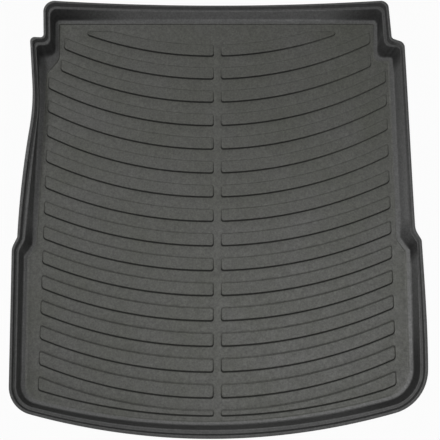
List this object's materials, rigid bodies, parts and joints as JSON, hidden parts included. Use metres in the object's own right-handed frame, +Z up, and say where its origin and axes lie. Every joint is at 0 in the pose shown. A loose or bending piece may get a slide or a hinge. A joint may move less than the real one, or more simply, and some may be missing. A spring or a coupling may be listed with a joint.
{
  "type": "car boot liner",
  "caption": "Shallow one-piece plastic tray for the boot of an estate car, with a stepped raised rim, notched corners and curved wedge ribs on its floor.",
  "frame": {"origin": "centre of the tray's bounding box, on the plane it rests on", "axes": "+X to the right across the car, seen from the loading edge; +Y from the curved loading edge towards the seats; +Z up"},
  "size_m": [1.02, 1.0984, 0.0416],
  "materials": {
    "liner_plastic": "fine grained, soft and slightly sheeny"
  },
  "bodies": {
    "root": {"boot_liner": "liner_plastic"}
  },
  "joints": []
}
